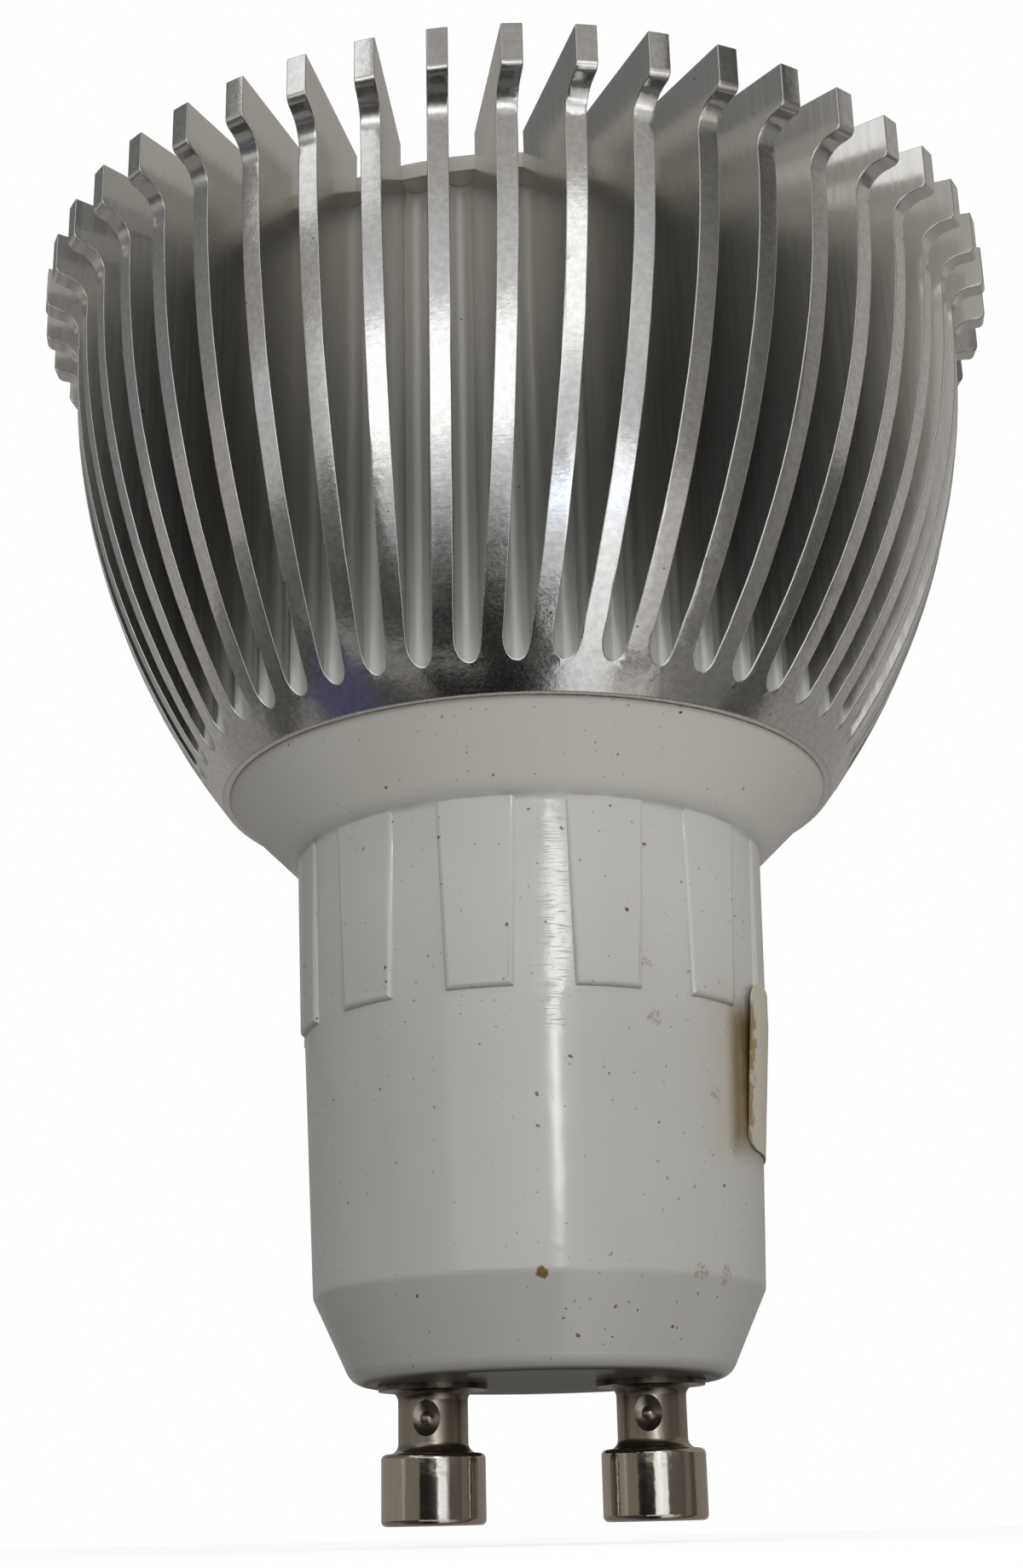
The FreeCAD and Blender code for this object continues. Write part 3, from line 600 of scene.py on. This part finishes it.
def heat_sink():
    """Heat sink with broken edges, built on the CAD node's own form."""
    mesh = nodes["heat_sink"].data.copy()
    mesh.name = "heat_sink_body"
    mesh.materials.clear()
    fin_side = drawn_metal("fin_side", FIN_SIDE_TONES, roughness=0.19, metallic=0.93)
    slot_floor = drawn_metal("slot_floor", SLOT_FLOOR_TONES, roughness=0.38, metallic=0.5)
    for material in (turned_aluminium(), fin_side, slot_floor, burr_aluminium()):
        mesh.materials.append(material)
    bm = bmesh.new()
    bm.from_mesh(mesh)
    bmesh.ops.remove_doubles(bm, verts=bm.verts, dist=MERGE_GAP * MM)
    bm.normal_update()
    sink_faces(bm)
    sharp = [e for e in bm.edges if e.calc_face_angle(0.0) > math.radians(EDGE_DEG)]
    broken = bmesh.ops.bevel(
        bm, geom=sharp, offset=EDGE_BREAK * MM, segments=EDGE_SEGMENTS, profile=EDGE_PROFILE,
        affect="EDGES", clamp_overlap=False, loop_slide=False, material=BURR)
    wander(broken["verts"])
    for face in bm.faces:
        face.smooth = True
    bm.to_mesh(mesh)
    bm.free()
    even_normals(mesh)
    piece = bpy.data.objects.new("heat_sink_body", mesh)
    bpy.context.scene.collection.objects.link(piece)
    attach(piece, "root")
    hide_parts("heat_sink")


# Stage: floor and world
FLOOR_Z = -7.0
FLOOR_HALF = 900.0
FLOOR_TONE = (0.40, 0.40, 0.40, 1.0)
FLOOR_ROUGHNESS = 0.9
FLOOR_GLOW = 0.75
WORLD_LEVEL = 0.50
WORLD_SEEN = 1.0

# Lamps: name, place, target, width, height, brightness as seen
LAMPS = (
    ("key", (15.0, -400.0, 130.0), (0.0, 0.0, 25.0), 260.0, 200.0, 3.2),
    ("fill", (330.0, -220.0, 35.0), (0.0, 0.0, 10.0), 200.0, 200.0, 1.8),
    ("bounce", (75.0, -55.0, -6.5), (4.0, -4.0, 4.0), 70.0, 70.0, 0.6),
    ("strip", (63.0, -345.0, 65.0), (0.0, 0.0, 15.0), 24.0, 80.0, 14.0),
)
UNMIRRORED_LAMPS = ("key", "fill", "bounce")
LIT_BY_STRIP = ("base_housing", "contact_pin_left", "contact_pin_right")

# Cards that the metal mirrors: the dome and the two upright planes that they lie on, and their tints
DOME_R = 440.0
DOME_Z = 40.0
NEAR_Y = -40.0
BY_CAMERA_Y = -112.0
CARD_STEP = 6.0
GLOW_LAYER = "glow"
PLAIN = (1.0, 1.0, 1.0)
WARM = (1.0, 0.96, 0.90)
COOL = (0.88, 0.95, 1.10)
BLUE = (0.78, 0.76, 1.35)
# On the dome: name, angles from the front to the right and heights above the horizon, in degrees, brightness
# at the lower and the upper edge, tint
DOME_CARDS = (
    ("table", (-180, 180), (-90, -72), (0.08, 0.08), WARM),
    ("table_left", (-150, -84), (-72, -31), (0.18, 0.20), WARM),
    ("table_blue", (-84, -62), (-72, -31), (0.07, 0.08), BLUE),
    ("table_brown", (-62, -38), (-72, -31), (0.05, 0.05), WARM),
    ("table_front", (-38, 0), (-72, -38), (0.008, 0.02), WARM),
    ("table_rim", (-38, 0), (-38, -28), (0.025, 0.13), WARM),
    ("table_edge", (0, 14), (-72, -36), (0.02, 0.06), WARM),
    ("paper_edge", (0, 14), (-36, -20), (0.45, 0.80), PLAIN),
    ("wall_low", (0, 14), (-20, -13), (0.42, 0.48), PLAIN),
    ("shade_left", (-105, -38), (-31, -10), (0.045, 0.15), WARM),
    ("shade_back_left", (-150, -105), (-31, -10), (0.18, 0.26), WARM),
    ("window_foot", (-38, 0), (-28, -13), (0.13, 0.80), PLAIN),
    ("window", (-42, 5), (-13, 6), (1.3, 1.3), PLAIN),
    ("window_head", (-42, 8), (6, 24), (0.62, 0.42), PLAIN),
    ("window_right", (8, 21), (1, 22), (1.2, 1.2), PLAIN),
    ("head_right", (21, 36), (6, 24), (0.55, 0.42), PLAIN),
    ("side_left", (-72, -42), (-10, 8), (0.42, 0.48), PLAIN),
    ("far_left", (-150, -72), (-10, 8), (0.32, 0.30), WARM),
    ("wall_left", (-72, -42), (8, 24), (0.30, 0.26), WARM),
    ("dark_left", (-150, -72), (8, 50), (0.20, 0.12), PLAIN),
    ("lamp_left", (-60, -30), (24, 45), (0.75, 1.0), PLAIN),
    ("gap_left", (-72, -60), (24, 45), (0.20, 0.20), WARM),
    ("ceiling_front", (-30, 38), (24, 50), (0.38, 0.30), WARM),
    ("paper_right", (14, 36), (-72, -13), (0.40, 1.2), PLAIN),
    ("wall_near_right", (5, 21), (-13, 1), (0.50, 0.85), PLAIN),
    ("wall_front_right", (21, 36), (-13, 6), (0.52, 0.55), PLAIN),
    ("table_right", (36, 54), (-72, -14), (0.50, 0.44), WARM),
    ("wall_right", (36, 54), (-14, 50), (0.22, 0.07), WARM),
    ("dark_right", (54, 68), (-72, 50), (0.20, 0.06), WARM),
    ("side_right", (68, 82), (-72, 50), (0.10, 0.26), WARM),
    ("shade_right", (82, 97), (-72, 2), (0.03, 0.10), WARM),
    ("far_right", (97, 150), (-72, 2), (0.20, 0.28), WARM),
    ("high_right", (82, 150), (2, 50), (0.34, 0.34), WARM),
    ("back", (150, 210), (-72, 50), (0.25, 0.32), WARM),
    ("ceiling", (-180, 180), (50, 90), (0.45, 0.50), PLAIN),
)
# Close in front of the pins and just behind the camera: the same, by places across and heights in millimetres
NEAR_CARDS = (
    ("hand", (-80, -26), (-10, -1.2), (0.22, 0.22), WARM),
    ("phone", (-26, 3), (-10, -1.2), (0.007, 0.007), PLAIN),
    ("cuff", (-80, -9), (-1.2, 3), (0.20, 0.20), WARM),
    ("sleeve", (24, 90), (-8, -1.2), (0.12, 0.12), WARM),
)
CAMERA_CARDS = (
    ("glare", (6, 62), (-9, 2), (1.6, 1.6), COOL),
)


def floor():
    """Pale floor just below the pins."""
    mesh = bpy.data.meshes.new("floor")
    bm = bmesh.new()
    bmesh.ops.create_grid(bm, x_segments=1, y_segments=1, size=FLOOR_HALF * MM)
    bm.to_mesh(mesh)
    bm.free()
    piece = bpy.data.objects.new("floor", mesh)
    piece.matrix_world = Matrix.Translation((0.0, 0.0, FLOOR_Z * MM))
    piece.visible_glossy = False
    bpy.context.scene.collection.objects.link(piece)
    material = bpy.data.materials.new("floor")
    material.use_nodes = True
    tree = material.node_tree
    shader = tree.nodes["Principled BSDF"]
    shader.inputs["Base Color"].default_value = FLOOR_TONE
    shader.inputs["Roughness"].default_value = FLOOR_ROUGHNESS
    shader.inputs["Specular IOR Level"].default_value = 0.0
    shader.inputs["Emission Color"].default_value = WHITE
    path = tree.nodes.new("ShaderNodeLightPath")
    glow = tree.nodes.new("ShaderNodeMapRange")
    glow.inputs["To Max"].default_value = FLOOR_GLOW
    tree.links.new(path.outputs["Is Camera Ray"], glow.inputs["Value"])
    tree.links.new(glow.outputs[0], shader.inputs["Emission Strength"])
    mesh.materials.append(material)


def world():
    """White to the eye and in reflections, and a plain even level of light elsewhere."""
    made = bpy.data.worlds.new("studio")
    bpy.context.scene.world = made
    made.use_nodes = True
    tree = made.node_tree
    background = tree.nodes["Background"]
    background.inputs["Color"].default_value = WHITE
    path = tree.nodes.new("ShaderNodeLightPath")
    seen = path.outputs["Is Camera Ray"]
    for name in ("Is Glossy Ray", "Is Transmission Ray"):
        either = tree.nodes.new("ShaderNodeMath")
        either.operation = "MAXIMUM"
        tree.links.new(seen, either.inputs[0])
        tree.links.new(path.outputs[name], either.inputs[1])
        seen = either.outputs[0]
    level = tree.nodes.new("ShaderNodeMapRange")
    level.inputs["To Min"].default_value = WORLD_LEVEL
    level.inputs["To Max"].default_value = WORLD_SEEN
    tree.links.new(seen, level.inputs["Value"])
    tree.links.new(level.outputs[0], background.inputs["Strength"])


def aimed(place, target):
    """Placement at a point in millimetres, facing another."""
    heading = Vector(target) - Vector(place)
    return Matrix.Translation(Vector(place) * MM) @ heading.to_track_quat("-Z", "Y").to_matrix().to_4x4()


def panel_light(name, place, target, width, height, radiance):
    """Soft rectangular lamp: its size in millimetres and its brightness as seen."""
    data = bpy.data.lights.new(name, "AREA")
    data.shape = "RECTANGLE"
    data.size = width * MM
    data.size_y = height * MM
    data.energy = radiance * math.pi * width * height * MM * MM
    lamp = bpy.data.objects.new(name, data)
    lamp.matrix_world = aimed(place, target)
    bpy.context.scene.collection.objects.link(lamp)
    return lamp


def lights():
    """Soft key behind the camera, fills from the right, and a narrow strip for the tube's highlight."""
    lamps = {row[0]: panel_light(*row) for row in LAMPS}
    for name in UNMIRRORED_LAMPS:
        lamps[name].visible_glossy = False
    lamps["bounce"].visible_camera = False
    lit = bpy.data.collections.new("lit_by_strip")
    for name in LIT_BY_STRIP:
        lit.objects.link(nodes[name])
    lamps["strip"].light_linking.receiver_collection = lit


def for_reflections(piece):
    """Makes a card glow by the colours that its mesh holds, and shows it to reflections alone."""
    material = bpy.data.materials.new(piece.name)
    material.use_nodes = True
    tree = material.node_tree
    shader = tree.nodes["Principled BSDF"]
    shader.inputs["Base Color"].default_value = BLACK
    shader.inputs["Specular IOR Level"].default_value = 0.0
    shader.inputs["Emission Strength"].default_value = 1.0
    glow = tree.nodes.new("ShaderNodeVertexColor")
    glow.layer_name = GLOW_LAYER
    tree.links.new(glow.outputs["Color"], shader.inputs["Emission Color"])
    piece.data.materials.append(material)
    piece.visible_camera = False
    piece.visible_diffuse = False
    piece.visible_shadow = False
    piece.visible_transmission = False
    bpy.context.scene.collection.objects.link(piece)


def between(ends, share):
    """Value at a share of the way between two."""
    return ends[0] + (ends[1] - ends[0]) * share


def card(name, sides, heights, tones, tint, place):
    """Card whose brightness runs from its lower edge to its upper one, over a grid that place() lays out."""
    columns = max(2, round((sides[1] - sides[0]) / CARD_STEP))
    rows = max(2, round((heights[1] - heights[0]) / CARD_STEP))
    points = []
    glows = []
    for j in range(rows + 1):
        height = between(heights, j / rows)
        glow = between(tones, j / rows)
        for i in range(columns + 1):
            points.append(place(between(sides, i / columns), height) * MM)
            glows.extend((glow * tint[0], glow * tint[1], glow * tint[2], 1.0))
    stride = columns + 1
    faces = []
    for j in range(rows):
        for i in range(columns):
            first = j * stride + i
            faces.append((first, first + 1, first + stride + 1, first + stride))
    mesh = bpy.data.meshes.new(name)
    mesh.from_pydata(points, [], faces)
    mesh.color_attributes.new(GLOW_LAYER, "FLOAT_COLOR", "POINT").data.foreach_set("color", glows)
    for_reflections(bpy.data.objects.new(name, mesh))


def on_dome(turn, height):
    """Point of the dome at an angle from the front and a height above the horizon, in degrees."""
    turn, height = math.radians(turn), math.radians(height)
    level = DOME_R * math.cos(height)
    return Vector((level * math.sin(turn), -level * math.cos(turn), DOME_Z + DOME_R * math.sin(height)))


def near_pins(x, z):
    """Point of the upright plane in front of the pins."""
    return Vector((x, NEAR_Y, z))


def by_camera(x, z):
    """Point of the upright plane behind the camera."""
    return Vector((x, BY_CAMERA_Y, z))


def cards():
    """Room of light and dark cards that the metal mirrors, some for the pins, and a glare by the camera."""
    for rows, place in ((DOME_CARDS, on_dome), (NEAR_CARDS, near_pins), (CAMERA_CARDS, by_camera)):
        for name, sides, heights, tones, tint in rows:
            card("card_" + name, sides, heights, tones, tint, place)


def camera():
    """Camera just below the pins, looking up at the fins."""
    data = bpy.data.cameras.new("camera")
    data.lens = CAMERA_LENS
    data.sensor_width = CAMERA_SENSOR
    data.clip_start = CAMERA_NEAR
    eye = bpy.data.objects.new("camera", data)
    bpy.context.scene.collection.objects.link(eye)
    turn = Matrix.Rotation(math.radians(CAMERA_TURN), 4, "Z")
    tilt = Matrix.Rotation(math.radians(90.0 + CAMERA_TILT), 4, "X")
    roll = Matrix.Rotation(math.radians(CAMERA_ROLL), 4, "Z")
    eye.matrix_world = Matrix.Translation(CAMERA_PLACE) @ turn @ tilt @ roll
    bpy.context.scene.camera = eye


heat_sink()
dress_nodes()
floor()
world()
lights()
cards()
camera()
bpy.context.scene.view_settings.view_transform = "Standard"
